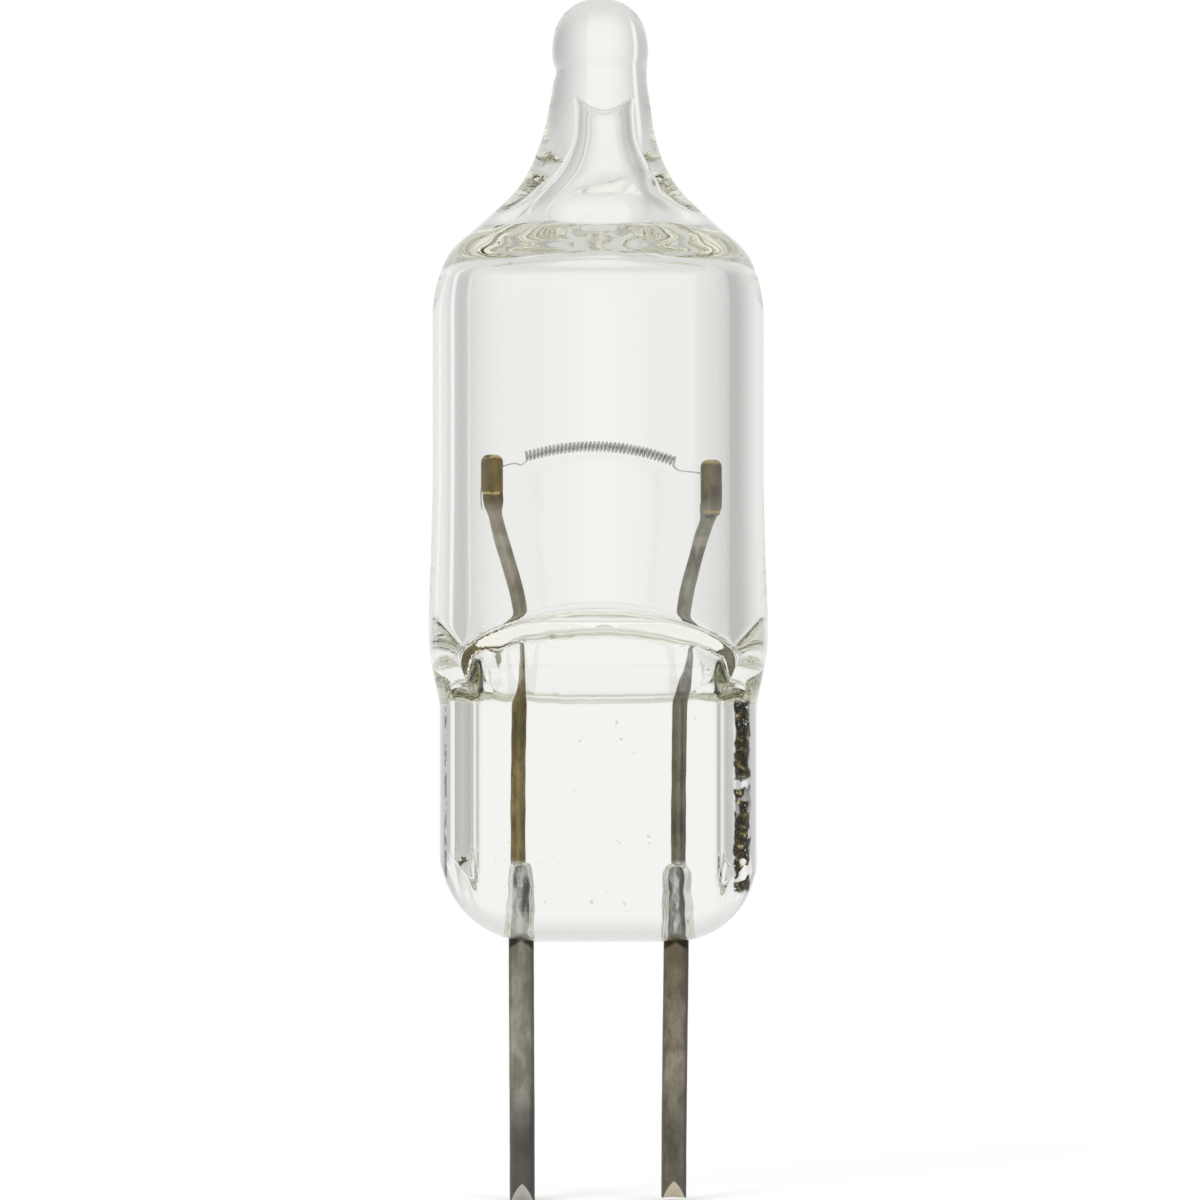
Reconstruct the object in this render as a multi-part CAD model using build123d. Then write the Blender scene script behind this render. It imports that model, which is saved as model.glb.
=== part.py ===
from build123d import *
import math
import os

# Two-pin halogen capsule bulb, in millimetres. The origin is midway between the pins, in the plane
# where they leave the glass. Z points to the exhaust tip, X to the right pin and -Y out of the front.

# Press seal
press_width = 8.18
press_thickness = 3.2
press_height = 6.1
rail_width = 0.34
rail_height = 0.34
rail_flank = 0.32
left_corner = 2.4
right_corner = 2.15
foot_radius = 1.1

# Sloped shoulders that the press jaws leave on the front and the back of the bulb
jaw_slope = 62
jaw_round = 0.5
jaw_hollow = 0.4
jaw_rise = 0.24
jaw_cut_past = 0.15

# Bulb wall
bulb_radius = 4.27
bulb_wall = 0.86
bulb_height = 10.3
belly_swell = 0.12
belly_height = 1.67
belly_length = 3.6

# Outer shoulder and exhaust tip, with the two radii as shares of the step from bulb to neck
shoulder_slope = 48
shoulder_round = 0.72
shoulder_hollow = 1.5
neck_radius = 1.2
neck_length = 0.58
knob_swell = 0.04

# Inner shoulder and exhaust channel, with the two radii as shares of the step from wall to channel
dome_slope = 70
dome_round = 0.19
dome_hollow = 1.03
dome_rise = 0.46
channel_radius = 0.5
channel_length = 1.14
drop_height = 0.4

# Bottom of the gas space: a bowl across the press, squeezed to a wedge by the jaws
bowl_round = 1.6
bowl_slope = 40
bowl_floor = 3.8
floor_height = 0.8
wedge_gap = 0.2
wedge_round = 0.5
wedge_hollow = 0.3

# Contact pins
pin_spacing = 4.0
pin_diameter = 0.65
pin_length = 6.68
pin_depth = 2.0
pin_draw = 0.02
pin_taper = 0.35
pin_weld_edge = 0.06
chisel_length = 0.45
chisel_edge = 0.06
pocket_gap = 0.05
crater_flare = 0.14
crater_depth = 0.3

# Inner lead wires
lead_diameter = 0.38
lead_offset = 0.07
left_lead_lean = -0.08
right_lead_lean = 0.11
left_bend_height = 2.4
right_bend_height = 2.3
lead_bend_radius = 2.0

# Folded clamps at the tops of the leads
clamp_width = 0.55
clamp_leaf = 0.2
clamp_neck = 0.35
clamp_clearance = 0.01
left_clearance = 0.305
left_clamp_base = 5.05
left_clamp_length = 1.39
left_flap_length = 1.16
right_clearance = 0.115
right_clamp_base = 4.75
right_clamp_length = 1.56
right_flap_length = 1.5

# Filament
wire_diameter = 0.05
coil_diameter = 0.28
coil_turns = 38
coil_chord = 3.85
coil_sag = 0.325
coil_tilt = -1.9
coil_shift = 0.05
coil_height = 6.32
facets_per_turn = 6
tail_below_bend = 0.06
left_tail_drop = 0.53
right_tail_drop = 0.13
tail_hook = 0.6
tail_bend = 0.12
tail_margin = 0.03

# Heights and radii that follow from the sizes above
inner_radius = bulb_radius - bulb_wall
knob_radius = neck_radius + knob_swell
belly_radius = bulb_radius + belly_swell
press_side = press_width / 2
press_face = press_thickness / 2
shoulder_start = press_height + bulb_height
lead_radius = lead_diameter / 2
pin_radius = pin_diameter / 2
pin_top_radius = lead_radius + pin_weld_edge
lead_x = pin_spacing / 2 + lead_offset
fold_gap = wire_diameter + 2 * clamp_clearance
fold_depth = -(clamp_leaf + fold_gap) / 2
tail_x = clamp_width / 2 + tail_margin + wire_diameter / 2
left_clamp_x = inner_radius - left_clearance - wire_diameter / 2 - tail_x
right_clamp_x = inner_radius - right_clearance - wire_diameter / 2 - tail_x
left_fold_top = press_height + left_clamp_base + left_clamp_length
right_fold_top = press_height + right_clamp_base + right_clamp_length
clear_of_glass = 1.0


def ogee(outer, inner, start, convex, concave, slope, up=1):
    """A round shoulder, a straight slope and a hollow flare, vertical at both ends."""
    lean = math.radians(slope)
    across = outer - inner - (convex + concave) * (1 - math.cos(lean))
    run = across / math.sin(lean)
    x1 = outer - convex * (1 - math.cos(lean))
    z1 = start + up * convex * math.sin(lean)
    x2 = x1 - run * math.sin(lean)
    z2 = z1 + up * run * math.cos(lean)
    end = z2 + up * concave * math.sin(lean)
    edges = [
        TangentArc((outer, start), (x1, z1), tangent=(0, up)),
        Line((x1, z1), (x2, z2)),
        TangentArc((x2, z2), (inner, end), tangent=(-math.sin(lean), up * math.cos(lean))),
    ]
    return edges, end


def ogee_height(outer, inner, convex, concave, slope):
    return ogee(outer, inner, 0, convex, concave, slope)[1]


def turned(edges):
    """A solid of revolution about Z from an outline drawn as (radius, height)."""
    return revolve(Plane.XZ * make_face(edges), Axis.Z)


def across_x(edges, half_width):
    """A bar along X from an outline drawn as (Y, Z)."""
    return extrude(Plane.YZ * make_face(edges), half_width, both=True)


def jaw(outer, face, foot, convex, concave, slope, half_width):
    """What the back press jaw pushes away: everything outside its face and its sloped shoulder."""
    head = foot + ogee_height(outer, face, convex, concave, slope)
    curve, bottom = ogee(outer, face, head, convex, concave, slope, up=-1)
    low = -clear_of_glass
    far = outer + clear_of_glass
    edges = curve + [
        Polyline((face, bottom), (face, low), (far, low), (far, head), (outer, head)),
    ]
    return across_x(edges, half_width)


def both_faces(tool):
    return tool + mirror(tool, Plane.XZ)


def corner_cutter(side, radius):
    """The corner that is missing at the bottom of the press on one side."""
    past = press_side + clear_of_glass
    edges = [
        Polyline(
            (side * press_side, radius),
            (side * past, radius),
            (side * past, -clear_of_glass),
            (side * (press_side - radius), -clear_of_glass),
            (side * (press_side - radius), 0),
        ),
        TangentArc((side * (press_side - radius), 0), (side * press_side, radius), tangent=(side, 0)),
    ]
    return extrude(Plane.XZ * make_face(edges), press_thickness, both=True)


def foot_cutter():
    """What is rounded off along the bottom of the back face of the press."""
    centre = press_face - foot_radius
    past = press_face + clear_of_glass
    edges = [
        TangentArc((centre, 0), (press_face, foot_radius), tangent=(1, 0)),
        Polyline(
            (press_face, foot_radius),
            (past, foot_radius),
            (past, -clear_of_glass),
            (centre, -clear_of_glass),
            (centre, 0),
        ),
    ]
    return across_x(edges, press_width)


def blown_body():
    """The outside of the glass before it is pressed."""
    step = bulb_radius - neck_radius
    shoulder, neck_start = ogee(
        bulb_radius,
        neck_radius,
        shoulder_start,
        shoulder_round * step,
        shoulder_hollow * step,
        shoulder_slope,
    )
    neck_end = neck_start + neck_length
    knob_centre = neck_end + math.sqrt(knob_radius**2 - neck_radius**2)
    knob_top = knob_centre + knob_radius
    knob_side = knob_radius * math.sqrt(0.5)
    belly = press_height + belly_height
    swell_top = belly + belly_length
    waist = TangentArc((belly_radius, belly), (press_side, press_height), tangent=(0, -1))
    edges = [
        *shoulder,
        Line((bulb_radius, shoulder_start), (bulb_radius, swell_top)),
        Line((bulb_radius, swell_top), (belly_radius, belly)),
        Polyline(waist @ 0, waist @ 0.5, waist @ 1),
        Polyline((press_side, press_height), (press_side, 0), (0, 0), (0, knob_top)),
        ThreePointArc((0, knob_top), (knob_side, knob_centre + knob_side), (neck_radius, neck_end)),
        Line((neck_radius, neck_end), (neck_radius, neck_start)),
    ]
    return turned(edges)


def press_tools():
    """The two jaws, with the shallow field between the edge rails."""
    outer = belly_radius + jaw_cut_past
    reach = belly_radius + clear_of_glass
    foot = press_height + jaw_rise
    flat = jaw(outer, press_face, foot, jaw_round, jaw_hollow, jaw_slope, reach)
    web_face = press_face - rail_height
    head = foot + ogee_height(outer, press_face, jaw_round, jaw_hollow, jaw_slope)
    web_foot = head - ogee_height(outer, web_face, jaw_round, jaw_hollow, jaw_slope)
    web = jaw(outer, web_face, web_foot, jaw_round, jaw_hollow, jaw_slope, reach)
    rail_inside = math.sqrt(press_side**2 - press_face**2) - rail_width
    rail_foot = rail_inside - rail_flank
    flare = rail_flank / rail_height * (outer - press_face)
    field = make_face(
        Polyline(
            (rail_foot, web_face),
            (rail_inside + flare, outer),
            (-rail_inside - flare, outer),
            (-rail_foot, web_face),
            close=True,
        )
    )
    between_rails = extrude(Pos(0, 0, -clear_of_glass) * field, head + 2 * clear_of_glass)
    return both_faces(flat) + both_faces(web & between_rails)


def gas_space():
    """The hollow inside: exhaust channel, shoulder, bulb and the wedge that the jaws leave at its foot."""
    dome_start = shoulder_start + dome_rise
    step = inner_radius - channel_radius
    dome, channel_start = ogee(
        inner_radius, channel_radius, dome_start, dome_round * step, dome_hollow * step, dome_slope
    )
    corner, ceiling, funnel = dome
    rim = channel_start + channel_length
    drop_end = rim - drop_height
    drop_radius = (channel_radius**2 + drop_height**2) / (2 * drop_height)
    half_way = math.asin(channel_radius / drop_radius) / 2
    drop_side = (drop_radius * math.sin(half_way), drop_end + drop_radius * (1 - math.cos(half_way)))
    lean = math.radians(bowl_slope)
    floor = press_height + floor_height
    floor_radius = bowl_floor / 2
    bowl_end_radius = inner_radius - bowl_round * (1 - math.cos(lean))
    bowl_end = floor + (bowl_end_radius - floor_radius) / math.tan(lean)
    bowl_top = bowl_end + bowl_round * math.sin(lean)
    edges = [
        Line(corner @ 0, corner @ 1),
        ceiling,
        funnel,
        Line((channel_radius, channel_start), (channel_radius, rim)),
        ThreePointArc((channel_radius, rim), drop_side, (0, drop_end)),
        Polyline((0, drop_end), (0, floor), (floor_radius, floor), (bowl_end_radius, bowl_end)),
        TangentArc((inner_radius, bowl_top), (bowl_end_radius, bowl_end), tangent=(0, -1)),
        Line((inner_radius, bowl_top), (inner_radius, dome_start)),
    ]
    wedge = jaw(
        inner_radius + jaw_cut_past,
        wedge_gap / 2,
        floor,
        wedge_round,
        wedge_hollow,
        jaw_slope,
        inner_radius + clear_of_glass,
    )
    return turned(edges) - both_faces(wedge)


def pin_pocket(side):
    """The loose pocket round one pin, with the small crater where the pin leaves the glass."""
    wide = pin_radius + pocket_gap
    mouth = wide + crater_flare
    edges = Polyline(
        (0, -clear_of_glass),
        (mouth, -clear_of_glass),
        (mouth, 0),
        (wide, crater_depth),
        (wide, pin_depth),
        (0, pin_depth),
        close=True,
    )
    return Pos(side * pin_spacing / 2, 0, 0) * turned(edges)


def contact_pin(side):
    """A round pin, drawn thinner and tapered to its weld in the glass, pinch cut to a chisel outside."""
    end = -pin_length
    shank = turned(
        Polyline(
            (0, end),
            (pin_radius, end),
            (pin_radius, 0),
            (pin_radius - pin_draw, pin_depth - pin_taper),
            (pin_top_radius, pin_depth),
            (0, pin_depth),
            close=True,
        )
    )
    half_edge = chisel_edge / 2
    past = pin_radius + half_edge
    shear = [
        TangentArc((past, end + chisel_length), (half_edge, end), tangent=(0, -1)),
        Polyline(
            (half_edge, end),
            (half_edge, end - half_edge),
            (past + half_edge, end - half_edge),
            (past + half_edge, end + chisel_length),
            (past, end + chisel_length),
        ),
    ]
    return Pos(side * pin_spacing / 2, 0, 0) * (shank - both_faces(across_x(shear, pin_diameter)))


def folded_clamp(base, top, flap):
    """The flattened lead end, folded forward over the filament tail."""
    inner = fold_gap / 2
    outer = inner + clamp_leaf
    centre = top - outer
    back = fold_depth + outer
    front = fold_depth - outer
    edges = [
        Line((back, base), (back, centre)),
        ThreePointArc((back, centre), (fold_depth, top), (front, centre)),
        Polyline(
            (front, centre),
            (front, top - flap),
            (fold_depth - inner, top - flap),
            (fold_depth - inner, centre),
        ),
        ThreePointArc(
            (fold_depth - inner, centre), (fold_depth, centre + inner), (fold_depth + inner, centre)
        ),
        Polyline((fold_depth + inner, centre), (fold_depth + inner, base), (back, base)),
    ]
    return across_x(edges, clamp_width / 2)


def lead_wire(side, clamp_x, lean, bend_height, clamp_base, fold_top, flap):
    """A round wire from the pin to the clamp, leaning outwards in the bulb, then flattened and folded."""
    neck_top = press_height + clamp_base
    neck_base = neck_top - clamp_neck
    weld = Vector(side * lead_x, 0, pin_depth)
    bend = Vector(side * (lead_x + lean), 0, press_height + bend_height)
    below_weld = weld + (weld - bend).normalized() * lead_diameter
    path = FilletPolyline(
        below_weld, bend, (side * clamp_x, 0, neck_base), radius=lead_bend_radius
    )
    wire = sweep(Plane(path.location_at(0)) * Circle(lead_radius), path=path)
    wire = split(wire, Plane.XY.offset(pin_depth), keep=Keep.TOP)
    flattening = loft(
        [
            Plane(path.location_at(1)) * Circle(lead_radius),
            Pos(side * clamp_x, 0, neck_top) * Rectangle(clamp_width, clamp_leaf),
        ]
    )
    fold = Pos(side * clamp_x, 0, 0) * folded_clamp(neck_top, fold_top, flap)
    return wire + flattening + fold


def coil_points():
    """The wound part of the filament: a helix about an arched axis that starts at its underside."""
    arch_radius = (coil_chord**2 / 4 + coil_sag**2) / (2 * coil_sag)
    half_angle = math.asin(coil_chord / 2 / arch_radius)
    wound_radius = (coil_diameter - wire_diameter) / 2
    centre = Pos(coil_shift, fold_depth, press_height + coil_height) * Rot(0, -coil_tilt, 0)
    steps = round(coil_turns * facets_per_turn)
    points = []
    for step in range(steps + 1):
        along = half_angle * (2 * step / steps - 1)
        winding = math.pi + 2 * math.pi * step / facets_per_turn
        reach = arch_radius + wound_radius * math.cos(winding)
        height = reach * math.cos(along) - arch_radius * math.cos(half_angle)
        place = centre * Pos(reach * math.sin(along), wound_radius * math.sin(winding), height)
        points.append(place.position)
    return points


def tail_points(side, clamp_x, fold_top, drop, coil_end):
    """One tail, from its hooked free end through the clamp to the end of the coil."""
    outside = side * (clamp_x + tail_x)
    inside = side * (clamp_x - clamp_width / 2)
    in_height = fold_top - clamp_leaf - fold_gap - tail_below_bend
    out_height = in_height - drop
    return [
        Vector(outside, fold_depth, out_height - tail_hook),
        Vector(outside, fold_depth, out_height - tail_bend),
        Vector(side * clamp_x, fold_depth, (in_height + out_height) / 2),
        Vector(inside, fold_depth, in_height),
        Vector((inside + coil_end.X) / 2, fold_depth, (in_height + coil_end.Z) / 2),
    ]


def filament():
    """One wire of square section, bent at every point of its two tails and its coil."""
    coil = coil_points()
    left_tail = tail_points(-1, left_clamp_x, left_fold_top, left_tail_drop, coil[0])
    right_tail = tail_points(1, right_clamp_x, right_fold_top, right_tail_drop, coil[-1])
    path = Polyline(*left_tail, *coil, *reversed(right_tail))
    section = Plane(path.location_at(0)) * RegularPolygon(wire_diameter / 2, 4)
    return sweep(section, path=path, transition=Transition.RIGHT)


left_lead = lead_wire(
    -1,
    left_clamp_x,
    left_lead_lean,
    left_bend_height,
    left_clamp_base,
    left_fold_top,
    left_flap_length,
)
right_lead = lead_wire(
    1,
    right_clamp_x,
    right_lead_lean,
    right_bend_height,
    right_clamp_base,
    right_fold_top,
    right_flap_length,
)

envelope = blown_body() - press_tools() - both_faces(foot_cutter())
envelope -= corner_cutter(-1, left_corner) + corner_cutter(1, right_corner)
envelope -= gas_space()
envelope -= pin_pocket(-1) + pin_pocket(1)
envelope -= left_lead + right_lead

nodes = {
    "glass_envelope": envelope,
    "filament": filament(),
    "left_lead": left_lead,
    "right_lead": right_lead,
    "left_pin": contact_pin(-1),
    "right_pin": contact_pin(1),
}

os.makedirs("parts", exist_ok=True)
for name, solid in nodes.items():
    export_step(solid, f"parts/{name}.step")
    print(name, round(solid.volume, 4), len(solid.faces()))
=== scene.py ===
import math

import bmesh
import bpy
from mathutils import Matrix, Vector, geometry, noise


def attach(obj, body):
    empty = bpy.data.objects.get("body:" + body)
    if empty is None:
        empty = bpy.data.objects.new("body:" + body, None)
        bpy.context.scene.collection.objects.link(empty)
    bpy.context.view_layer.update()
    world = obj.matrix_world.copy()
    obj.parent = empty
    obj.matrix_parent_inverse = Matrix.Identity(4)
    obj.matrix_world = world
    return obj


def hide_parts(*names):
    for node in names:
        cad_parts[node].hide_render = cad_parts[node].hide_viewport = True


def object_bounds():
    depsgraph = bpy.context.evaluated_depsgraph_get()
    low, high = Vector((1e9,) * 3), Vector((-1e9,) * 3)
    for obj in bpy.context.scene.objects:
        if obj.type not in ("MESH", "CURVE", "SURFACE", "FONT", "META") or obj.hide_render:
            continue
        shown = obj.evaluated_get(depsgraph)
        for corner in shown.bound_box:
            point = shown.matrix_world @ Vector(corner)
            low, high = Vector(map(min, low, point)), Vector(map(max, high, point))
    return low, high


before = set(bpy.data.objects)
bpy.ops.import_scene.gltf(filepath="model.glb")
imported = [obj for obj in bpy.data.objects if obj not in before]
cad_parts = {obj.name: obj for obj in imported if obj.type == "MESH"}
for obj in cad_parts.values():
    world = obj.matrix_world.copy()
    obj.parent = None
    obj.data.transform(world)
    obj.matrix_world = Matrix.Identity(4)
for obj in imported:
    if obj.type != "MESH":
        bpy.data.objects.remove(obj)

mm = 0.001
hair = 1e-4  # millimetres, a chord too short to squeeze
ringGap = 0.001  # millimetres, points this low belong to a flat base
cadLow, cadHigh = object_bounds()
scene = bpy.context.scene
print("frame loaded, nodes:", sorted(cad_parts))


# a wrapped socket, so that shader maths reads as plain expressions
class Val:
    def __init__(self, tree, socket):
        self.tree = tree
        self.socket = socket

    def math(self, operation, other=None):
        return addNode(self.tree, "ShaderNodeMath", {"operation": operation}, Value=[self, other])["Value"]

    def __add__(self, other):
        return self.math("ADD", other)

    __radd__ = __add__

    def __mul__(self, other):
        return self.math("MULTIPLY", other)

    __rmul__ = __mul__

    def __sub__(self, other):
        return self.math("SUBTRACT", other)

    def __rsub__(self, other):
        return addNode(self.tree, "ShaderNodeMath", {"operation": "SUBTRACT"}, Value=[other, self])["Value"]

    def __abs__(self):
        return self.math("ABSOLUTE")

    # eased step, 0 at low and 1 at high
    def ramp(self, low, high):
        smooth = {"interpolation_type": "SMOOTHSTEP"}
        sockets = {"Value": self, "From Min": low, "From Max": high}
        return addNode(self.tree, "ShaderNodeMapRange", smooth, **sockets)["Result"]

    # 1 between low and high, eased over twice the softness at both ends
    def band(self, low, high, soft):
        return self.ramp(low - soft, low + soft) * self.ramp(high + soft, high - soft)


# any node: its type, its settings, then its sockets, with a list where several share a name
def addNode(tree, kind, settings=None, **inputs):
    made = tree.nodes.new(kind)
    for name, value in (settings or {}).items():
        if name == "stops":
            stops = made.color_ramp.elements
            while len(stops) < len(value):
                stops.new(1.0)
            for stop, (place, colour) in zip(stops, value):
                stop.position = place
                stop.color = (*colour, 1.0)
        else:
            setattr(made, name, value)
    for name, values in inputs.items():
        slots = [s for s in made.inputs if s.name == name and s.enabled]
        for slot, value in zip(slots, values if isinstance(values, list) else [values]):
            if isinstance(value, Val):
                tree.links.new(value.socket, slot)
            elif slot.type == "RGBA":
                slot.default_value = (*value, 1.0)
            elif value is not None:
                slot.default_value = value
    return {s.name: Val(tree, s) for s in made.outputs if s.enabled}


def inMillimetres(place):
    parts = addNode(place.tree, "ShaderNodeSeparateXYZ", Vector=place)
    return [parts[axis] * (1 / mm) for axis in "XYZ"]


def mottling(place, scale, detail, roughness=0.6):
    sockets = {"Vector": place, "Scale": scale, "Detail": detail, "Roughness": roughness}
    return addNode(place.tree, "ShaderNodeTexNoise", **sockets)["Fac"]


def tint(share, under, over):
    sockets = {"Factor": share, "A": under, "B": over}
    return addNode(share.tree, "ShaderNodeMix", {"data_type": "RGBA"}, **sockets)["Result"]


def newMaterial(name):
    made = bpy.data.materials.new(name)
    made.use_nodes = True
    made.node_tree.nodes.clear()
    return made, made.node_tree


def wearMaterial(piece, material):
    piece.data.materials.clear()
    piece.data.materials.append(material)


def smoothPiece(bm, name, crease=None):
    mesh = bpy.data.meshes.new(name)
    bm.to_mesh(mesh)
    bm.free()
    mesh.polygons.foreach_set("use_smooth", [True] * len(mesh.polygons))
    if crease:
        mesh.set_sharp_from_angle(angle=math.radians(crease))
    made = bpy.data.objects.new(name, mesh)
    scene.collection.objects.link(made)
    return made


def fitPiece(piece, node):
    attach(piece, "root")
    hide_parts(node)
    return piece


# joins a second mesh to the first
def joinMesh(bm, other):
    loose = bpy.data.meshes.new("loose")
    other.to_mesh(loose)
    other.free()
    bm.from_mesh(loose)
    bpy.data.meshes.remove(loose)


# a smooth line through a few places (radius or side, height)
def flowLine(places, spacing):
    knots = [Vector(p) for p in places]
    line = [knots[0]]
    for i in range(len(knots) - 1):
        here, there = knots[i], knots[i + 1]
        before = knots[i - 1] if i else here
        after = knots[i + 2] if i + 2 < len(knots) else there
        reach = (there - here).length / 3
        leave = here + (there - before).normalized() * reach
        arrive = there - (after - here).normalized() * reach
        count = max(2, math.ceil((there - here).length / spacing))
        line += [p.xy for p in geometry.interpolate_bezier(here, leave, arrive, there, count + 1)[1:]]
    return line


# several smooth lines end to end, each with its own spacing
def joinedLine(*runs):
    line = []
    for places, spacing in runs:
        line += flowLine(places, spacing)[1 if line else 0:]
    return line


def turnedShell(line, steps):
    bm = bmesh.new()
    verts = [bm.verts.new((p.x * mm, 0, p.y * mm)) for p in line]
    edges = [bm.edges.new(pair) for pair in zip(verts, verts[1:])]
    turn = {"cent": (0, 0, 0), "axis": (0, 0, 1), "angle": math.tau, "steps": steps, "use_merge": True}
    bmesh.ops.spin(bm, geom=verts + edges, **turn)
    bmesh.ops.remove_doubles(bm, verts=bm.verts, dist=0.0005 * mm)
    bmesh.ops.recalc_face_normals(bm, faces=bm.faces)
    return bm


# a wire drawn through rings: centre, direction, the way across, half width, half depth, squareness
def drawnWire(bm, stations, sides):
    before = None
    for centre, along, across, halfWidth, halfDepth, squareness in stations:
        through = along.cross(across).normalized()
        ring = bmesh.ops.create_circle(bm, segments=sides, radius=1.0)["verts"]
        for v in ring:
            u, w = (math.copysign(abs(c) ** (1 - squareness), c) for c in v.co.xy)
            v.co = (centre + across * u * halfWidth + through * w * halfDepth) * mm
        edges = list({e for v in ring for e in v.link_edges})
        if before:
            bmesh.ops.bridge_loops(bm, edges=before + edges)
        before = edges
    bmesh.ops.holes_fill(bm, edges=bm.edges, sides=0)
    bmesh.ops.recalc_face_normals(bm, faces=bm.faces)


# centre, direction and the way across at every point of a line in the plane of the pins
def lineStations(line, depth=0.0):
    for i, p in enumerate(line):
        ahead = line[min(i + 1, len(line) - 1)] - line[max(i - 1, 0)]
        along = Vector((ahead.x, 0, ahead.y)).normalized()
        yield Vector((p.x, depth, p.y)), along, Vector((along.z, 0, -along.x))


def eased(low, high, value):
    share = min(max((value - low) / (high - low), 0.0), 1.0)
    return share * share * (3 - 2 * share)


# the smaller of two sizes, with the corner between them rounded
def softLeast(a, b, roundness):
    near = max(roundness - abs(a - b), 0.0) / roundness
    return min(a, b) - near * near * roundness / 4


# glass envelope, sizes in millimetres
glass = {
    "turns": 240,
    "hollowTurns": 160,
    "pressSide": 4.09,
    "pressTop": 6.1,
    "pressFace": 1.6,
    "webFace": 1.26,
    "railFoot": 3.02,
    "railCrest": 3.66,
    "jawFoot": 6.4,
    "jawDip": 0.12,
    "jawDipSide": 3.0,
    "jawWave": 0.06,
    "jawWavePitch": 1.9,
    "jawSlope": 1.85,
    "jawRound": 0.2,
    "jawSide": 3.05,
    "jawEdge": 3.22,
    "ledgeSlope": 6.0,
    "shelfAcross": (2.7, 3.95),
    "shelfUp": (6.15, 7.6),
    "shelfPolish": 3,
    "boreRadius": 3.41,
    "boreFoot": 6.64,
    "bowlStart": 8.8,
    "bowlTop": 8.4,
    "bowlFoot": 6.3,
    "bowlRound": 0.9,
    "wedgeFoot": 6.85,
    "wedgeSlope": 1.95,
    "wedgeGap": 0.05,
    "wedgeSoft": 0.2,
    "wedgeRound": 0.15,
    "leftCorner": 2.4,
    "rightCorner": 2.15,
    "footRound": 1.1,
    "tipShift": 0.05,
    "tipLean": (20.0, 22.0),
    "nickDepth": 0.07,
    "nickHeight": 22.4,
    "nickReach": 0.16,
    "nickSide": (0.5, 1.1),
    "channelShift": 0.12,
    "channelLean": (18.4, 19.8),
    "dropSaddle": 0.72,
    "dropUp": (20.7, 21.4),
}
glassSpacing = {
    "dome": 0.09, "wall": 0.5, "jaws": 0.12, "press": 0.13, "bowl": 0.08, "base": 0.15, "pocket": 0.05,
}
tipLine = [
    (0.0, 24.33), (0.62, 24.17), (1.08, 23.70), (1.24, 23.05), (1.20, 22.40), (1.29, 21.60), (1.55, 20.45),
    (2.05, 19.45), (3.10, 18.42), (3.80, 17.78), (4.13, 17.05), (4.26, 16.30), (4.27, 15.40), (4.27, 14.90),
]
footLine = [
    (4.27, 12.0), (4.272, 11.6), (4.31, 10.20), (4.38, 8.00), (4.34, 7.35), (4.19, 6.60), (4.09, 6.10),
]
domeLine = [
    (0.0, 21.15), (0.20, 21.18), (0.36, 21.28), (0.45, 21.42), (0.49, 21.50), (0.52, 21.42), (0.50, 21.10),
    (0.56, 20.40), (0.80, 19.60), (1.05, 18.95), (1.35, 18.37), (1.80, 17.88), (2.40, 17.58), (3.00, 17.38),
    (3.28, 17.12), (3.39, 16.68), (3.41, 16.10), (3.41, 15.60),
]
pocket = {
    "turns": 48,
    "roof": 0.22,
    "roofDrop": 0.01,
    "shoulderIn": 0.04,
    "shoulderDrop": 0.2,
    "straightTop": 0.8,
    "straightFoot": 0.3,
    "footIn": 0.03,
    "footDip": 0.02,
    "lumpPitch": 2.6,
}
pockets = {
    "left": {"centre": -1.99, "radius": 0.345, "top": 2.05, "foot": 0.28, "uneven": 0.09},
    "right": {"centre": 2.02, "radius": 0.385, "top": 2.02, "foot": 0.26, "uneven": 0.12},
}


# how far the jaws leave the glass standing at one place of a face
def jawDepth(across, height):
    aside = abs(across)
    rail = eased(glass["railFoot"], glass["railCrest"], aside)
    face = glass["webFace"] + (glass["pressFace"] - glass["webFace"]) * rail
    dip = glass["jawDip"] * (1 - min(aside / glass["jawDipSide"], 1.0) ** 2)
    wave = glass["jawWave"] * noise.noise((across * glass["jawWavePitch"], 7.0, 0.0))
    foot = glass["jawFoot"] - dip + wave
    ledge = eased(glass["jawSide"], glass["jawEdge"], aside)
    slope = glass["jawSlope"] + (glass["ledgeSlope"] - glass["jawSlope"]) * ledge
    return -softLeast(-face, -glass["webFace"] - slope * (height - foot), glass["jawRound"])


# the gas space narrows to a wedge between the jaws, the same all the way across
def wedgeDepth(across, height):
    above = height - glass["wedgeFoot"]
    return glass["wedgeGap"] + glass["wedgeSlope"] * (above + math.hypot(above, glass["wedgeSoft"])) / 2


# rise of the rounded foot of the press above its lowest line
def footRise(across, depth):
    corner = glass["leftCorner"] if across < 0 else glass["rightCorner"]
    side = min(max(abs(across) - (glass["pressSide"] - corner), 0.0), corner)
    front = min(max(abs(depth) - (glass["webFace"] - glass["footRound"]), 0.0), glass["footRound"])
    rise = corner - math.sqrt(corner**2 - side**2)
    return rise + glass["footRound"] - math.sqrt(glass["footRound"] ** 2 - front**2)


# the nick at the left of the tip, where the tube was melted off
def tipNick(across, height):
    away = (height - glass["nickHeight"]) / glass["nickReach"]
    return glass["nickDepth"] * math.exp(-(away**2)) * eased(*glass["nickSide"], -across)


# squeezes a turned shell front to back, to the depth that is left at each place
def pressFlat(bm, depthAt, roundness, footRadius=None):
    for v in bm.verts:
        x, y, z = v.co / mm
        chord = abs(y)
        if footRadius and z < ringGap:  # all of the base goes in with its rim
            chord = math.sqrt(max(footRadius**2 - x * x, 0.0))
        if chord > hair:
            v.co.y *= softLeast(chord, depthAt(x, z), roundness) / chord


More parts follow.
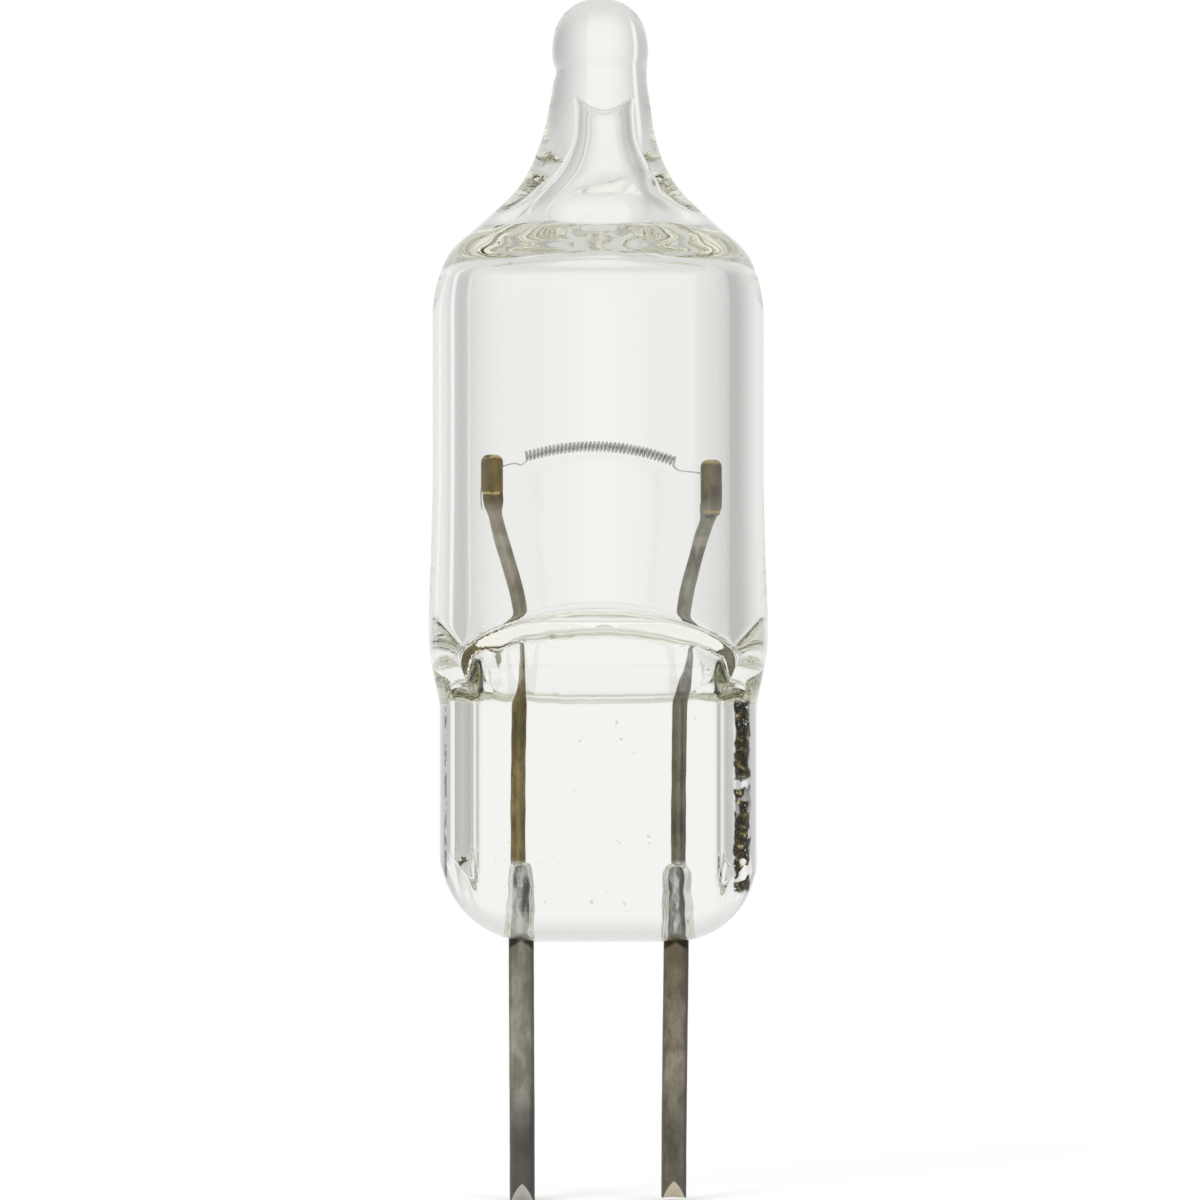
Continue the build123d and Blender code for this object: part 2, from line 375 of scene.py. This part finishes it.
# a closed hollow inside the glass, its faces turned inwards
def cutHollow(bm, hollow):
    bmesh.ops.reverse_faces(hollow, faces=hollow.faces)
    joinMesh(bm, hollow)


# fire polish, where the bite of the jaws ends
def polishShelf(bm):
    inner, outer = glass["shelfAcross"]
    low, high = glass["shelfUp"]
    shelf = [v for v in bm.verts if inner < abs(v.co.x / mm) < outer and low < v.co.z / mm < high]
    everyWay = {"use_axis_x": True, "use_axis_y": True, "use_axis_z": True}
    for again in range(glass["shelfPolish"]):
        bmesh.ops.smooth_vert(bm, verts=shelf, factor=0.5, **everyWay)


def makeOutside():
    side, top = glass["pressSide"], glass["pressTop"]
    wall = [tipLine[-1], footLine[0]]
    flat = [(side, top), (side, 0.0)]
    base = [(side, 0.0), (0.0, 0.0)]
    upper = [(tipLine, glassSpacing["dome"]), (wall, glassSpacing["wall"]), (footLine, glassSpacing["jaws"])]
    lower = [(flat, glassSpacing["press"]), (base, glassSpacing["base"])]
    bm = turnedShell(joinedLine(*upper, *lower), glass["turns"])
    pressFlat(bm, jawDepth, glass["jawRound"], side)
    polishShelf(bm)
    for v in bm.verts:
        x, y, z = v.co / mm
        if z < top:
            rise = footRise(x, y)
            v.co.z = (rise + (top - rise) * z / top) * mm
        v.co.x += (glass["tipShift"] * eased(*glass["tipLean"], z) + tipNick(x, z)) * mm
    return bm


def makeGasSpace():
    bore, foot, bowlTop = glass["boreRadius"], glass["boreFoot"], glass["bowlTop"]
    rim = (bore, glass["bowlStart"])
    wall, bowl, base = [domeLine[-1], rim], [rim, (bore, foot)], [(bore, foot), (0.0, foot)]
    upper = [(domeLine, glassSpacing["dome"]), (wall, glassSpacing["wall"])]
    lower = [(bowl, glassSpacing["bowl"]), (base, glassSpacing["base"])]
    hollow = turnedShell(joinedLine(*upper, *lower), glass["hollowTurns"])
    pressFlat(hollow, wedgeDepth, glass["wedgeRound"])
    for v in hollow.verts:
        x, y, z = v.co / mm
        sunk = max(bowlTop - z, 0.0) / (bowlTop - glass["bowlFoot"])
        if sunk and abs(x) > hair:  # the sides round in to the foot of the bowl
            v.co.x *= softLeast(abs(x), bore * math.sqrt(1 - sunk**2), glass["bowlRound"] * sunk) / abs(x)
        sag = glass["dropSaddle"] * (x * x - y * y) * eased(*glass["dropUp"], z)  # the drop, front and back
        v.co.z += sag * mm
        v.co.x += glass["channelShift"] * eased(*glass["channelLean"], z) * mm
    return hollow


def makePocket(form):
    wide, top, foot = form["radius"], form["top"], form["foot"]
    roof = [(0.0, top), (pocket["roof"], top - pocket["roofDrop"])]
    shoulder = (wide - pocket["shoulderIn"], top - pocket["shoulderDrop"])
    sides = [shoulder, (wide, top - pocket["straightTop"]), (wide, foot + pocket["straightFoot"])]
    base = [(wide - pocket["footIn"], foot), (0.0, foot - pocket["footDip"])]
    line = flowLine([*roof, *sides, *base], glassSpacing["pocket"])
    hollow = turnedShell(line, pocket["turns"])
    for v in hollow.verts:
        lump = noise.noise(v.co / mm * pocket["lumpPitch"] + Vector((form["centre"], 0, 0)))
        v.co.xy *= 1 + form["uneven"] * lump
        v.co.x += form["centre"] * mm
    return hollow


def makeGlass():
    bm = makeOutside()
    cutHollow(bm, makeGasSpace())
    for form in pockets.values():
        cutHollow(bm, makePocket(form))
    return fitPiece(smoothPiece(bm, "glassBulb"), "glass_envelope")


glassBulb = makeGlass()
print("glass made, faces:", len(glassBulb.data.polygons))

# lead wires: round in the press and the bulb, then flattened and folded over the filament tail
lead = {
    "radius": 0.19,
    "sides": 32,
    "spacing": 0.14,
    "dents": 0.07,
    "dentPitch": 1.6,
    "leafWidth": 0.275,
    "leafDepth": 0.1,
    "leafSquare": 0.45,
    "leafStart": 0.55,
    "leafFull": 0.15,
    "leafSteps": 4,
    "foldRadius": 0.135,
    "foldNarrow": 0.22,
    "foldSteps": 12,
    "flapSteps": 12,
    "flapTrim": 0.3,
    "flapRound": 0.22,
    "crease": 50,
}
leadLines = {
    "leftLead": {
        "node": "left_lead",
        "places": [
            (-2.06, 1.90), (-2.06, 4.0), (-2.02, 6.6), (-1.985, 8.1), (-2.08, 8.8), (-2.30, 9.6),
            (-2.54, 10.4), (-2.70, 11.05), (-2.745, 11.45),
        ],
        "foldTop": 12.54,
        "flap": 1.12,
    },
    "rightLead": {
        "node": "right_lead",
        "places": [
            (2.06, 1.90), (2.07, 4.0), (2.11, 6.6), (2.17, 8.0), (2.28, 8.85), (2.47, 9.6),
            (2.68, 10.35), (2.86, 10.85), (2.935, 11.25),
        ],
        "foldTop": 12.41,
        "flap": 1.48,
    },
}


def makeLead(name, form):
    line = flowLine(form["places"], lead["spacing"])
    side, top = line[-1]
    wire, wide, thin, square = lead["radius"], lead["leafWidth"], lead["leafDepth"], lead["leafSquare"]
    stations = []
    for centre, along, across in lineStations(line):
        flat = eased(top - lead["leafStart"], top - lead["leafFull"], centre.z)
        dent = noise.noise((centre.x, 3.0, centre.z * lead["dentPitch"]))
        worn = 1 + lead["dents"] * dent * (1 - flat)
        width = (wire + (wide - wire) * flat) * worn
        depth = (wire + (thin - wire) * flat) * worn
        stations.append((centre, along, across, width, depth, square * flat))
    across, up = Vector((1, 0, 0)), Vector((0, 0, 1))
    bend = lead["foldRadius"]
    bendFoot = form["foldTop"] - bend - thin
    for step in range(1, lead["leafSteps"] + 1):  # up the leaf
        height = top + (bendFoot - top) * step / lead["leafSteps"]
        stations.append((Vector((side, 0, height)), up, across, wide, thin, square))
    for step in range(1, lead["foldSteps"] + 1):  # over the fold
        turn = math.pi * step / lead["foldSteps"]
        place = Vector((side, -bend + bend * math.cos(turn), bendFoot + bend * math.sin(turn)))
        along = Vector((0, -math.sin(turn), math.cos(turn)))
        narrow = wide * (1 - lead["foldNarrow"] * math.sin(turn) ** 4)
        stations.append((place, along, across, narrow, thin, square))
    end = form["foldTop"] - form["flap"]
    for step in range(1, lead["flapSteps"] + 1):  # down the flap to its cut end
        height = bendFoot + (end - bendFoot) * step / lead["flapSteps"]
        trim = 1 - lead["flapTrim"] * (1 - eased(0.0, lead["flapRound"], height - end))
        stations.append((Vector((side, -2 * bend, height)), -up, across, wide * trim, thin * trim, square))
    bm = bmesh.new()
    drawnWire(bm, stations, lead["sides"])
    return fitPiece(smoothPiece(bm, name, lead["crease"]), form["node"])


leads = {name: makeLead(name, form) for name, form in leadLines.items()}
print("leads made:", sorted(leads))

# filament: a coil of round wire bent to an arch, with a tail to each clamp
coil = {
    "wire": 0.03,
    "tail": 0.02,
    "tailSpacing": 0.06,
    "wound": 0.113,
    "turns": 38,
    "steps": 20,
    "sides": 10,
    "chord": 3.85,
    "sag": 0.325,
    "tilt": 1.9,
    "centre": (0.05, -0.135, 12.42),
    "crease": 50,
}
tails = {
    -1: [
        (-1.99, 12.27), (-2.12, 12.31), (-2.27, 12.29), (-2.48, 12.22), (-2.75, 12.02), (-2.98, 11.80),
        (-3.045, 11.62), (-3.05, 11.35), (-3.03, 11.08),
    ],
    1: [
        (2.03, 12.15), (2.21, 12.11), (2.56, 12.07), (2.94, 12.0), (3.17, 11.93), (3.235, 11.82),
        (3.245, 11.60), (3.235, 11.35),
    ],
}


def makeFilament():
    archRadius = (coil["chord"] ** 2 / 4 + coil["sag"] ** 2) / (2 * coil["sag"])
    half = math.asin(coil["chord"] / 2 / archRadius)
    length = 2 * half * archRadius
    count = coil["turns"] * coil["steps"]
    start = Vector((-length / 2, 0, 0)) * mm
    drop = Vector((0, 0, coil["wound"] * mm))
    upright = Matrix.Translation(start - drop) @ Matrix.Rotation(math.pi / 2, 4, "X")
    bm = bmesh.new()
    bmesh.ops.create_circle(bm, segments=coil["sides"], radius=coil["wire"] * mm, matrix=upright)
    winding = {"cent": start, "axis": (1, 0, 0), "angle": math.tau * coil["turns"], "steps": count}
    bmesh.ops.spin(bm, geom=list(bm.verts) + list(bm.edges), dvec=(length / count * mm, 0, 0), **winding)
    bmesh.ops.holes_fill(bm, edges=bm.edges, sides=0)
    lean, centre = Matrix.Rotation(math.radians(coil["tilt"]), 3, "Y"), Vector(coil["centre"])
    for v in bm.verts:
        x, y, z = v.co / mm
        turn, reach = x / archRadius, archRadius + z
        bent = Vector((reach * math.sin(turn), y, reach * math.cos(turn) - archRadius * math.cos(half)))
        v.co = (lean @ bent + centre) * mm
    for side, places in tails.items():  # each tail leaves the lowest point of the last turn
        aside = side * (archRadius - coil["wound"]) * math.sin(half)
        root = lean @ Vector((aside, 0, -coil["wound"] * math.cos(half))) + centre
        line = flowLine([(root.x, root.z)] + places, coil["tailSpacing"])
        tail = bmesh.new()
        stations = [(*s, coil["tail"], coil["tail"], 0.0) for s in lineStations(line, root.y)]
        drawnWire(tail, stations, coil["sides"])
        joinMesh(bm, tail)
    bmesh.ops.recalc_face_normals(bm, faces=bm.faces)
    return fitPiece(smoothPiece(bm, "arcCoil", coil["crease"]), "filament")


arcCoil = makeFilament()
print("filament made, faces:", len(arcCoil.data.polygons))

# contact pins: drawn wire with a welded head in the press and a pinch cut end
pin = {
    "radius": 0.325,
    "sides": 64,
    "spacing": (0.08, 0.2, 0.03, 0.05),
    "headTop": 2.0,
    "headRadius": 0.25,
    "headEdge": 0.05,
    "neck": 1.65,
    "neckIn": 0.02,
    "lumps": 0.1,
    "lumpsUp": (0.3, 1.2),
    "lumpPitch": 1.7,
    "drawn": 0.012,
    "cutRun": 0.6,
    "cut": 0.46,
    "cutRidge": 0.5,
    "cutRound": 0.01,
    "edge": 0.03,
    "crease": 40,
}
pinForms = {
    "leftPin": {"node": "left_pin", "top": -1.99, "foot": -1.96, "end": -6.67},
    "rightPin": {"node": "right_pin", "top": 2.02, "foot": 1.95, "end": -6.60},
}


def makePin(name, form):
    end, wide, top, head = form["end"], pin["radius"], pin["headTop"], pin["headRadius"]
    crown = [(0.0, top), (head - pin["headEdge"], top), (head, top - pin["headEdge"])]
    weld = [*crown, (wide - pin["neckIn"], pin["neck"]), (wide, 0.0)]
    shank = [(wide, 0.0), (wide, end + pin["cutRun"])]
    cut = [(wide, end + pin["cutRun"]), (wide, end)]
    base = [(wide, end), (0.0, end)]
    line = joinedLine(*zip((weld, shank, cut, base), pin["spacing"]))
    bm = turnedShell(line, pin["sides"])

    def cutDepth(across, height):
        rise = max(height - end, 0.0) * (wide - pin["edge"]) / pin["cut"]
        return pin["edge"] + rise + pin["cutRidge"] * abs(across)

    pressFlat(bm, cutDepth, pin["cutRound"])
    for v in bm.verts:
        height = v.co.z / mm
        share = eased(top, end, height)
        rough = pin["drawn"] + pin["lumps"] * eased(*pin["lumpsUp"], height)  # lumpy where it was welded
        v.co.xy *= 1 + rough * noise.noise(v.co / mm * pin["lumpPitch"] + Vector((form["top"], 0, 0)))
        v.co.x += (form["top"] + (form["foot"] - form["top"]) * share) * mm
    return fitPiece(smoothPiece(bm, name, pin["crease"]), form["node"])


pins = {name: makePin(name, form) for name, form in pinForms.items()}
print("pins made:", sorted(pins))

# clear glass, a little green in depth, with painted shade and marks on it; places in millimetres
clearGlass = {
    "colour": (0.985, 0.986, 0.98),
    "ior": 1.5,
    "depthColour": (0.73, 0.725, 0.54),
    "depthDensity": 40.0,
    "frontFace": (-0.6, -0.9),
    "shadeColumnAcross": (3.47, 3.87),
    "shadeColumnUp": (1.3, 6.25),
    "shadeColumnGap": (4.06, 4.2),
    "railRagged": 0.24,
    "shadeColumnThins": (4.6, 2.6),
    "shadeColumnTones": [
        (0.45, (0.012, 0.011, 0.008)), (0.56, (0.045, 0.036, 0.012)),
        (0.64, (0.24, 0.19, 0.06)), (0.72, (0.6, 0.58, 0.48)),
    ],
    "dotsAcross": (-3.93, -3.87),
    "dotsUp": (1.6, 6.2),
    "dotsDark": 0.7,
    "specksAside": (2.7, 2.5),
    "specksUp": (0.6, 5.8),
    "specksDark": 0.3,
    "neckAside": (1.3, 1.45),
    "neckUp": (18.9, 20.6),
    "neckDark": 0.7,
    "tipSpot": (-0.27, -0.1, 21.6),
    "tipSpotSize": (0.11, 0.06),
}


# painted shade on the right rail: a dark column with pale specks, with a gap and breaking up lower down; and
# a dotted line on the left rail
def railShadeAndDots(place, x, z, grain):
    ragged = clearGlass["railRagged"] * (mottling(place, 1900.0, 3.0) - 0.5)
    column = (x + ragged).band(*clearGlass["shadeColumnAcross"], 0.03)
    column = column * (z + ragged).band(*clearGlass["shadeColumnUp"], 0.06)
    gap = (z + 2.0 * ragged).band(*clearGlass["shadeColumnGap"], 0.04)
    blobs = mottling(place, 2300.0, 1.0).ramp(0.51, 0.56) * z.ramp(*clearGlass["shadeColumnThins"])
    paintedShadeColumn = column * (1.0 - gap) * (1.0 - blobs) * grain.ramp(0.32, 0.40)
    dots = (x + 0.2 * ragged).band(*clearGlass["dotsAcross"], 0.015) * z.band(*clearGlass["dotsUp"], 0.2)
    dots = dots * mottling(place, 4200.0, 2.0).ramp(0.46, 0.52)
    return paintedShadeColumn + clearGlass["dotsDark"] * dots


# a few specks in the web, some soot at the neck and a spot under the tip
def faintSpecks(place, x, z):
    specks = mottling(place, 3400.0, 2.0).ramp(0.69, 0.74) * abs(x).ramp(*clearGlass["specksAside"])
    specks = specks * z.band(*clearGlass["specksUp"], 0.3)
    neck = mottling(place, 2600.0, 2.0).ramp(0.66, 0.70) * z.band(*clearGlass["neckUp"], 0.15)
    neck = neck * abs(x).ramp(*clearGlass["neckAside"])
    ends = {"Vector": [place, Vector(clearGlass["tipSpot"]) * mm]}
    away = addNode(place.tree, "ShaderNodeVectorMath", {"operation": "DISTANCE"}, **ends)["Value"]
    spot = (away * (1 / mm)).ramp(*clearGlass["tipSpotSize"])
    return clearGlass["specksDark"] * specks, clearGlass["neckDark"] * neck + spot


def makeClearGlass():
    made, tree = newMaterial("clearGlass")
    place = addNode(tree, "ShaderNodeTexCoord")["Object"]
    x, y, z = inMillimetres(place)
    grain = mottling(place, 5200.0, 4.0, 0.7)
    specks, topMarks = faintSpecks(place, x, z)
    # painted shade on the right rail, the specks, the neck soot and the spot under the tip, mixed into the
    # glass as a dark rough surface
    shadeAndSoot = y.ramp(*clearGlass["frontFace"]) * (railShadeAndDots(place, x, z, grain) + specks) + topMarks
    paneLook = {"Base Color": clearGlass["colour"], "IOR": clearGlass["ior"], "Transmission Weight": 1.0}
    pane = addNode(tree, "ShaderNodeBsdfPrincipled", Roughness=0.0, **paneLook)
    shade = addNode(tree, "ShaderNodeValToRGB", {"stops": clearGlass["shadeColumnTones"]}, Fac=grain)["Color"]
    shadeAndSootBsdf = addNode(tree, "ShaderNodeBsdfPrincipled", Roughness=0.5, **{"Base Color": shade})
    both = addNode(tree, "ShaderNodeMixShader", Fac=shadeAndSoot, Shader=[pane["BSDF"], shadeAndSootBsdf["BSDF"]])["Shader"]
    depthLook = {"Color": clearGlass["depthColour"], "Density": clearGlass["depthDensity"]}
    depth = addNode(tree, "ShaderNodeVolumeAbsorption", **depthLook)["Volume"]
    addNode(tree, "ShaderNodeOutputMaterial", Surface=both, Volume=depth)
    return made


wearMaterial(glassBulb, makeClearGlass())


# drawn metal: fine lengthwise mottling for colour, gloss and bump
def drawnMottling(place):
    stretch = {"Vector": [place, (1.0, 1.0, 0.4)]}
    drawn = addNode(place.tree, "ShaderNodeVectorMath", {"operation": "MULTIPLY"}, **stretch)["Vector"]
    return mottling(drawn, 2400.0, 5.0, 0.65)


def finishMetal(colour, mottle, rough, metallic):
    tree = mottle.tree
    dent = addNode(tree, "ShaderNodeBump", Strength=0.25, Distance=0.03 * mm, Height=mottle)["Normal"]
    gloss = rough + 0.25 * (mottle - 0.5)
    look = {"Base Color": colour, "Roughness": gloss, "Metallic": metallic, "Normal": dent}
    shader = addNode(tree, "ShaderNodeBsdfPrincipled", **look)["BSDF"]
    addNode(tree, "ShaderNodeOutputMaterial", Surface=shader)


# heat tint in the press, bare in the bulb, gilt clamps; each from dark to light; with painted highlights at
# the kink, the fold, the flap end and the weld
leadTones = {
    "leftLead": {
        "sealed": [(0.16, 0.125, 0.045), (0.42, 0.345, 0.15)],
        "bare": [(0.24, 0.21, 0.14), (0.50, 0.46, 0.36)],
        "clamp": [(0.08, 0.05, 0.004), (0.24, 0.165, 0.014)],
        "goldHighlight": (0.80, 0.60, 0.24),
    },
    "rightLead": {
        "sealed": [(0.14, 0.125, 0.092), (0.31, 0.28, 0.21)],
        "bare": [(0.22, 0.20, 0.15), (0.48, 0.46, 0.39)],
        "clamp": [(0.085, 0.068, 0.03), (0.255, 0.21, 0.12)],
        "goldHighlight": (0.62, 0.48, 0.20),
    },
}
leadLook = {"bend": (0.62, 0.58, 0.48), "weld": (0.85, 0.85, 0.82), "rough": 0.4, "metallic": 1.0}


def makeLeadMetal(name, form, tone):
    made, tree = newMaterial(name + "Metal")
    place = addNode(tree, "ShaderNodeTexCoord")["Object"]
    y, z = inMillimetres(place)[1:]
    mottle = drawnMottling(place)
    broad = mottling(place, 1100.0, 3.0) - 0.5
    share = (mottle + 0.6 * broad).ramp(0.3, 0.7)
    sealed, bare, clamp = (tint(share, *tone[part]) for part in ("sealed", "bare", "clamp"))
    top, end = form["foldTop"], form["foldTop"] - form["flap"]
    colour = tint((z + broad).ramp(7.0, 8.0), sealed, bare)
    colour = tint((z + broad).ramp(11.0, 11.4), colour, clamp)
    # a pale band at the kink near 10.3 mm: painted highlight
    colour = tint(0.6 * (z + 0.3 * broad).band(10.15, 10.4, 0.08), colour, leadLook["bend"])
    # pale gold along the top of the fold and the cut end of the flap: painted highlight
    foldHighlightMask = (z + 0.2 * broad).ramp(top - 0.12, top - 0.05)
    flapHighlightMask = y.ramp(-0.2, -0.26) * z.band(end + 0.06, end + 0.12, 0.03)
    colour = tint((foldHighlightMask + flapHighlightMask) * mottle.ramp(0.35, 0.5), colour, tone["goldHighlight"])
    # near white at the foot of the lead, over the weld: painted highlight
    colour = tint(z.ramp(2.14, 2.0), colour, leadLook["weld"])
    finishMetal(colour, mottle, leadLook["rough"], leadLook["metallic"])
    return made


for name, piece in leads.items():
    wearMaterial(piece, makeLeadMetal(name, leadLines[name], leadTones[name]))

# dull drawn wire, brown at the glass and dark towards its end, with a painted highlight on the cut facets
pinTones = {
    "leftPin": {
        "dull": (0.32, 0.30, 0.24),
        "bright": (0.60, 0.57, 0.49),
        "end": (0.55, 0.54, 0.50),
        "dark": 0.85,
        "brown": 0.05,
    },
    "rightPin": {
        "dull": (0.21, 0.185, 0.13),
        "bright": (0.51, 0.46, 0.35),
        "end": (0.60, 0.55, 0.43),
        "dark": 0.6,
        "brown": 0.55,
    },
}
pinLook = {
    "dark": (0.062, 0.06, 0.05),
    "brown": (0.16, 0.115, 0.05),
    "leftEdgeShade": (0.13, 0.10, 0.055),
    "rightEdgeShade": (0.055, 0.06, 0.07),
    "collar": (0.03, 0.026, 0.018),
    "head": [(0.15, 0.15, 0.14), (0.92, 0.92, 0.88)],
    "rough": 0.45,
    "metallic": 0.9,
}


def makePinMetal(name, form, tone):
    made, tree = newMaterial(name + "Metal")
    place = addNode(tree, "ShaderNodeTexCoord")["Object"]
    x, _, z = inMillimetres(place)
    mottle = drawnMottling(place)
    broad = mottling(place, 700.0, 3.0) - 0.5
    slip = (form["foot"] - form["top"]) / (form["end"] - pin["headTop"])
    aside = x - form["top"] - slip * (z - pin["headTop"])  # distance from the pin's own axis
    colour = tint((mottle + 0.5 * broad).ramp(0.3, 0.7), tone["dull"], tone["bright"])
    colour = tint(tone["dark"] * (z + broad).ramp(-3.0, -5.0), colour, pinLook["dark"])
    colour = tint(tone["brown"] * (z + 1.5 * broad).ramp(-1.9, -0.2), colour, pinLook["brown"])
    # darker along both sides of the pin, brown on the left and bluish on the right: painted shade
    colour = tint(0.7 * (aside + 0.1 * broad).ramp(-0.22, -0.31), colour, pinLook["leftEdgeShade"])
    colour = tint(0.75 * (aside + 0.1 * broad).ramp(0.19, 0.29), colour, pinLook["rightEdgeShade"])
    roof = z + 0.7 * abs(aside) + 0.15 * broad  # the dark collar is peaked in the middle
    colour = tint(0.9 * roof.band(0.02, 0.34, 0.06), colour, pinLook["collar"])
    # the weld head in its pocket, mottled from dark to near white; the near-white flecks are painted
    # highlights
    colour = tint(z.ramp(0.35, 0.5), colour, tint(mottle.ramp(0.4, 0.6), *pinLook["head"]))
    # the downward-facing cut facets turn lighter: painted highlight
    facing = addNode(tree, "ShaderNodeNewGeometry")["Normal"]
    downward = addNode(tree, "ShaderNodeSeparateXYZ", Vector=facing)["Z"]
    colour = tint(downward.ramp(-0.3, -0.45), colour, tone["end"])
    finishMetal(colour, mottle, pinLook["rough"], pinLook["metallic"])
    return made


for name, piece in pins.items():
    wearMaterial(piece, makePinMetal(name, pinForms[name], pinTones[name]))

tungsten = {"dark": (0.48, 0.475, 0.46), "light": (0.86, 0.85, 0.83), "rough": 0.3, "metallic": 0.95}


def makeTungsten():
    made, tree = newMaterial("tungstenWire")
    place = addNode(tree, "ShaderNodeTexCoord")["Object"]
    mottle = mottling(place, 5200.0, 4.0)
    colour = tint(mottle.ramp(0.3, 0.7), tungsten["dark"], tungsten["light"])
    finishMetal(colour, mottle, tungsten["rough"], tungsten["metallic"])
    return made


wearMaterial(arcCoil, makeTungsten())
print("materials made:", sorted(m.name for m in bpy.data.materials if m.users))

# camera, level with the middle of the bulb; what it sees at the bulb, in millimetres
view = {"sensor": 36.0, "lens": 143.0, "width": 30.96, "centre": (0.046, 0.0, 8.80)}
camera = bpy.data.cameras.new("camera")
camera.sensor_width = view["sensor"]
camera.lens = view["lens"]
camera.clip_start = 0.01
camera.clip_end = 10.0
viewCentre = Vector(view["centre"]) * mm
distance = view["width"] * mm * camera.lens / camera.sensor_width
cameraObject = bpy.data.objects.new("camera", camera)
scene.collection.objects.link(cameraObject)
cameraObject.location = viewCentre + Vector((0, -distance, 0))
cameraObject.rotation_euler = (math.radians(90), 0, 0)
scene.camera = cameraObject

# floor, just under the pin ends
ground = {"size": 0.014, "gap": 0.00002, "colour": (0.97, 0.97, 0.97)}
bm = bmesh.new()
bmesh.ops.create_grid(bm, x_segments=1, y_segments=1, size=ground["size"])
bmesh.ops.translate(bm, verts=bm.verts, vec=(0, 0, cadLow.z - ground["gap"]))
floor = smoothPiece(bm, "floor")
floorPaint, tree = newMaterial("floorPaint")
shader = addNode(tree, "ShaderNodeBsdfDiffuse", Color=ground["colour"])
addNode(tree, "ShaderNodeOutputMaterial", Surface=shader["BSDF"])
floor.data.materials.append(floorPaint)

# two soft boxes above, one to each side of the camera, sizes and places in metres
softBoxes = [
    {"place": (-0.22, -0.2, 0.22), "power": 0.28},
    {"place": (0.22, -0.2, 0.22), "power": 0.12},
]
for form in softBoxes:
    box = bpy.data.lights.new("softBox", "AREA")
    box.shape = "RECTANGLE"
    box.size, box.size_y = 0.12, 0.2
    box.energy = form["power"]
    boxObject = bpy.data.objects.new("softBox", box)
    scene.collection.objects.link(boxObject)
    boxObject.location = form["place"]
    boxObject.rotation_euler = (viewCentre - boxObject.location).to_track_quat("-Z", "Y").to_euler()
    boxObject.visible_glossy = False
    boxObject.visible_transmission = False
print("camera, floor and soft boxes made")

# studio: a white sheet behind, greyer towards the sides, a dim room in front; turns in degrees
studio = {
    "sheet": 0.96,
    "sides": (6.0, 50.0),
    "sidesDrop": 0.38,
    "step": (10.5, 12.0),
    "stepDrop": 0.07,
    "edges": (60.0, 85.0),
    "edgesLift": 0.14,
    "strip": (-39.0, -33.0),
    "stripLift": 0.3,
    "overhead": (0.08, 0.62),
    "overheadTone": 0.75,
    "room": (-0.3, 0.3),
    "roomTone": 0.45,
}
world = bpy.data.worlds.new("studio")
scene.world = world
world.use_nodes = True
tree = world.node_tree
tree.nodes.clear()
direction = addNode(tree, "ShaderNodeTexCoord")["Generated"]
parts = addNode(tree, "ShaderNodeSeparateXYZ", Vector=direction)
sideways, behind, upward = parts["X"], parts["Y"], parts["Z"]
turn = sideways.math("ARCTAN2", abs(behind)) * (180 / math.pi)
tone = studio["sheet"] - studio["sidesDrop"] * abs(turn).ramp(*studio["sides"])
tone = tone - studio["stepDrop"] * turn.ramp(*studio["step"])
tone = tone + studio["edgesLift"] * abs(turn).ramp(*studio["edges"])
tone = (tone + studio["stripLift"] * turn.band(*studio["strip"], 1.5)).math("MINIMUM", 1.0)
overhead = abs(upward).ramp(*studio["overhead"])
tone = tone * (1.0 - overhead) + studio["overheadTone"] * overhead
front = studio["roomTone"] + (1 - studio["roomTone"]) * behind.ramp(*studio["room"])
path = addNode(tree, "ShaderNodeLightPath")
through = path["Is Transmission Ray"]
mirrored = path["Is Glossy Ray"] * (1.0 - through)
strength = 1.0 - through * (1.0 - tone) - mirrored * (1.0 - tone * front)
back = addNode(tree, "ShaderNodeBackground", Color=(1.0, 1.0, 1.0), Strength=strength)
addNode(tree, "ShaderNodeOutputWorld", Surface=back["Background"])

scene.view_settings.view_transform = "Standard"
scene.cycles.max_bounces = 48
scene.cycles.transmission_bounces = 48
scene.cycles.glossy_bounces = 32
